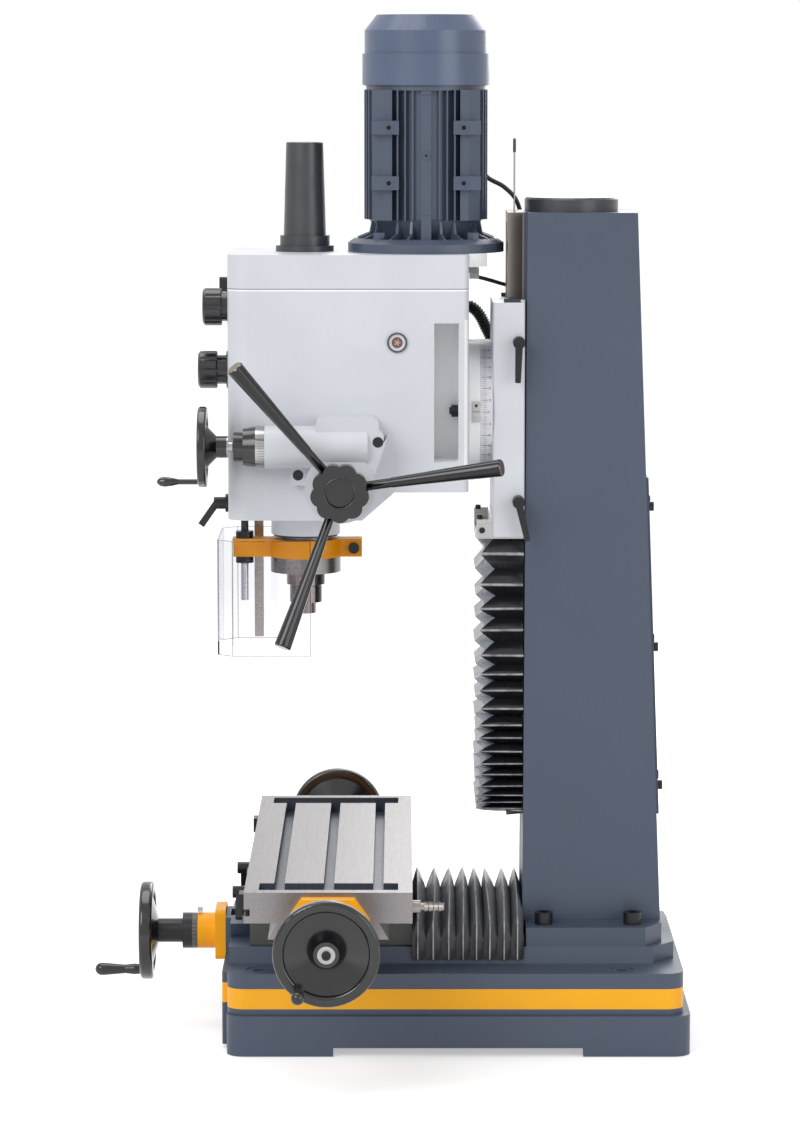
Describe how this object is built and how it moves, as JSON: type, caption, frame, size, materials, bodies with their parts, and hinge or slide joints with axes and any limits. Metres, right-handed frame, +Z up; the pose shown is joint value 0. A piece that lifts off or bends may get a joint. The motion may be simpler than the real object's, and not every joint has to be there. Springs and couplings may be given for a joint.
{
  "type": "mill drill",
  "caption": "Dovetail column mill drill with gear head, quill and capstan, swivelling head, compound table with handwheels, pleated way covers and clear guard.",
  "frame": {"origin": "centre of the four hold-down bolt holes, on the floor", "axes": "+X to the operator's right along the table, +Y away from the operator, +Z up"},
  "size_m": [1.2602, 0.8901, 1.5185],
  "materials": {
    "paint_grey": "semi-gloss blue-grey machine enamel",
    "paint_white": "semi-gloss cool white enamel",
    "paint_dark": "dark olive-grey enamel",
    "paint_yellow": "gloss yellow enamel",
    "ground_steel": "ground steel",
    "black_oxide": "black oxide steel",
    "black_plastic": "glossy black",
    "vinyl": "black coated cloth",
    "fan_plastic": "blue-grey sheet cover",
    "bronze": "cast bronze",
    "clear_plastic": "clear acrylic sheet",
    "sight": "oil sight glass"
  },
  "bodies": {
    "base": {"base_casting": "paint_grey", "column_casting": "paint_grey", "column_screws": "black_oxide", "column_back_cover": "paint_grey", "column_cap": "black_plastic", "vertical_bellows": "vinyl", "y_feed_bracket": "paint_yellow", "front_bellows": "vinyl"},
    "lift_screw": {"lift_screw": "ground_steel"},
    "lift_crank": {"lift_crank": "black_oxide"},
    "y_feed": {"y_screw": "ground_steel", "y_dial": "black_oxide", "y_handwheel": "black_plastic"},
    "y_grip": {"y_grip": "black_plastic"},
    "saddle": {"saddle_casting": "paint_dark", "saddle_gibs": "ground_steel", "feed_nuts": "bronze"},
    "saddle_lock_left": {"saddle_lock_left": "black_oxide"},
    "saddle_lock_right": {"saddle_lock_right": "black_oxide"},
    "table": {"table": "ground_steel", "table_brackets": "paint_yellow", "table_stops": "black_oxide", "drain_nipple": "ground_steel"},
    "x_feed": {"x_screw": "ground_steel", "x_dials": "ground_steel", "x_handwheels": "black_plastic"},
    "x_grip_left": {"x_grip_left": "black_plastic"},
    "x_grip_right": {"x_grip_right": "black_plastic"},
    "slide": {"slide_casting": "paint_white", "bellows_bracket": "black_oxide", "swivel_scale": "ground_steel"},
    "slide_lock_upper": {"slide_lock_upper": "black_oxide"},
    "slide_lock_lower": {"slide_lock_lower": "black_oxide"},
    "head": {"head_casting": "paint_white", "head_lid": "paint_white", "swivel_bolts": "black_oxide", "motor_housing": "paint_grey", "fan_cover": "fan_plastic", "drawbar_cap": "black_plastic", "feed_housing": "paint_white", "sight_glass": "sight", "control_panel": "black_plastic", "motor_leads": "vinyl", "conduit": "vinyl"},
    "rotor": {"motor_rotor": "ground_steel"},
    "gear_shaft": {"gear_shaft": "ground_steel"},
    "drive_sleeve": {"drive_sleeve": "ground_steel"},
    "guard": {"guard_bar": "ground_steel", "guard": "clear_plastic"},
    "speed_knob_upper": {"speed_knob_upper": "black_plastic"},
    "speed_knob_lower": {"speed_knob_lower": "black_plastic"},
    "quill_lock": {"quill_lock": "black_oxide"},
    "capstan": {"capstan": "ground_steel"},
    "worm_wheel": {"worm_wheel": "bronze"},
    "clutch": {"clutch_knob": "black_plastic"},
    "fine_feed": {"fine_feed_wheel": "black_plastic"},
    "quill": {"quill": "ground_steel", "quill_clamp": "paint_yellow", "depth_rod": "ground_steel"},
    "spindle": {"spindle": "ground_steel"}
  },
  "joints": [
    {"name": "lift_crank_turn", "type": "hinge", "parent": "base", "child": "lift_crank", "pos_m": [-0.136, 0.182, 0.3], "axis": [1, 0, 0], "range_deg": [-20885, 8645]},
    {"name": "lift_screw_turn", "type": "hinge", "parent": "base", "child": "lift_screw", "pos_m": [0, 0.182, 0.3], "axis": [0, 0, 1], "range_deg": [-8650, 20890]},
    {"name": "head_lift", "type": "slide", "parent": "base", "child": "slide", "axis": [0, 0, 1], "range_m": [-0.29, 0.12], "deforming": ["vertical_bellows"]},
    {"name": "y_feed_turn", "type": "hinge", "parent": "base", "child": "y_feed", "pos_m": [0, -0.4, 0.14], "axis": [0, 1, 0], "range_deg": [-2741, 8501]},
    {"name": "saddle_travel", "type": "slide", "parent": "base", "child": "saddle", "axis": [0, 1, 0], "range_m": [-0.038, 0.118], "deforming": ["front_bellows"]},
    {"name": "y_grip_spin", "type": "hinge", "parent": "y_feed", "child": "y_grip", "pos_m": [0, -0.48, 0.08], "axis": [0, 1, 0], "continuous": true},
    {"name": "saddle_lock_left_turn", "type": "hinge", "parent": "saddle", "child": "saddle_lock_left", "pos_m": [-0.095, -0.29, 0.218], "axis": [0, 1, 0], "range_deg": [-60, 45]},
    {"name": "saddle_lock_right_turn", "type": "hinge", "parent": "saddle", "child": "saddle_lock_right", "pos_m": [0.095, -0.29, 0.218], "axis": [0, 1, 0], "range_deg": [-45, 60]},
    {"name": "table_travel", "type": "slide", "parent": "saddle", "child": "table", "axis": [1, 0, 0], "range_m": [-0.25, 0.25]},
    {"name": "x_feed_turn", "type": "hinge", "parent": "table", "child": "x_feed", "pos_m": [0, -0.161, 0.2211], "axis": [1, 0, 0], "range_deg": [-18005, 18005]},
    {"name": "x_grip_left_spin", "type": "hinge", "parent": "x_feed", "child": "x_grip_left", "pos_m": [-0.59, -0.19939, 0.17369], "axis": [1, 0, 0], "continuous": true},
    {"name": "x_grip_right_spin", "type": "hinge", "parent": "x_feed", "child": "x_grip_right", "pos_m": [0.59, -0.19939, 0.17369], "axis": [1, 0, 0], "continuous": true},
    {"name": "slide_lock_lower_turn", "type": "hinge", "parent": "slide", "child": "slide_lock_lower", "pos_m": [0.1, 0.1158, 0.805], "axis": [1, 0, 0], "range_deg": [-50, 30]},
    {"name": "slide_lock_upper_turn", "type": "hinge", "parent": "slide", "child": "slide_lock_upper", "pos_m": [0.1, 0.1158, 1.04], "axis": [1, 0, 0], "range_deg": [-50, 30]},
    {"name": "head_swivel", "type": "hinge", "parent": "slide", "child": "head", "pos_m": [0, 0.06, 0.937], "axis": [0, 1, 0], "range_deg": [-90, 90], "deforming": ["motor_leads", "conduit"]},
    {"name": "rotor_spin", "type": "hinge", "parent": "head", "child": "rotor", "pos_m": [0, -0.0205, 1.3], "axis": [0, 0, 1], "continuous": true},
    {"name": "gear_shaft_spin", "type": "hinge", "parent": "head", "child": "gear_shaft", "pos_m": [0, -0.1105, 1], "axis": [0, 0, 1], "continuous": true},
    {"name": "drive_sleeve_spin", "type": "hinge", "parent": "head", "child": "drive_sleeve", "pos_m": [0, -0.2005, 1], "axis": [0, 0, 1], "continuous": true},
    {"name": "guard_swing", "type": "hinge", "parent": "head", "child": "guard", "pos_m": [-0.1, -0.274, 0.77], "axis": [0, 0, 1], "range_deg": [-100, 0]},
    {"name": "speed_knob_upper_turn", "type": "hinge", "parent": "head", "child": "speed_knob_upper", "pos_m": [0.06, -0.32, 1.09], "axis": [0, 1, 0], "range_deg": [-90, 90]},
    {"name": "speed_knob_lower_turn", "type": "hinge", "parent": "head", "child": "speed_knob_lower", "pos_m": [0.06, -0.32, 0.997], "axis": [0, 1, 0], "range_deg": [-90, 90]},
    {"name": "quill_lock_turn", "type": "hinge", "parent": "head", "child": "quill_lock", "pos_m": [0.055, -0.32, 0.798], "axis": [0, 1, 0], "range_deg": [-45, 60]},
    {"name": "capstan_turn", "type": "hinge", "parent": "head", "child": "capstan", "pos_m": [0.2, -0.1455, 0.834], "axis": [1, 0, 0], "range_deg": [0, 425.6]},
    {"name": "quill_travel", "type": "slide", "parent": "head", "child": "quill", "axis": [0, 0, -1], "range_m": [-0.0005, 0.1305], "stiffness_N_per_m": 60, "springref_m": -1.2},
    {"name": "worm_wheel_turn", "type": "hinge", "parent": "head", "child": "worm_wheel", "pos_m": [0.1715, -0.1455, 0.834], "axis": [1, 0, 0], "continuous": true},
    {"name": "fine_feed_turn", "type": "hinge", "parent": "head", "child": "fine_feed", "pos_m": [0.1715, -0.3, 0.892], "axis": [0, 1, 0], "continuous": true},
    {"name": "clutch_turn", "type": "hinge", "parent": "capstan", "child": "clutch", "pos_m": [0.26, -0.1455, 0.834], "axis": [1, 0, 0], "range_deg": [0, 180]},
    {"name": "spindle_spin", "type": "hinge", "parent": "quill", "child": "spindle", "pos_m": [0, -0.2005, 0.66], "axis": [0, 0, 1], "continuous": true}
  ],
  "couplings": [
    {"joint": "lift_crank_turn", "follows": "head_lift", "rad_per_m": 1256.6},
    {"joint": "lift_screw_turn", "follows": "head_lift", "rad_per_m": -1256.6},
    {"joint": "y_feed_turn", "follows": "saddle_travel", "rad_per_m": 1256.6},
    {"joint": "x_feed_turn", "follows": "table_travel", "rad_per_m": 1256.6},
    {"joint": "gear_shaft_spin", "follows": "rotor_spin", "ratio": -0.3653},
    {"joint": "drive_sleeve_spin", "follows": "rotor_spin", "ratio": 0.18357},
    {"joint": "spindle_spin", "follows": "rotor_spin", "ratio": 0.18357},
    {"joint": "quill_travel", "follows": "capstan_turn", "m_per_rad": 0.0175},
    {"joint": "worm_wheel_turn", "follows": "fine_feed_turn", "ratio": 0.025}
  ]
}
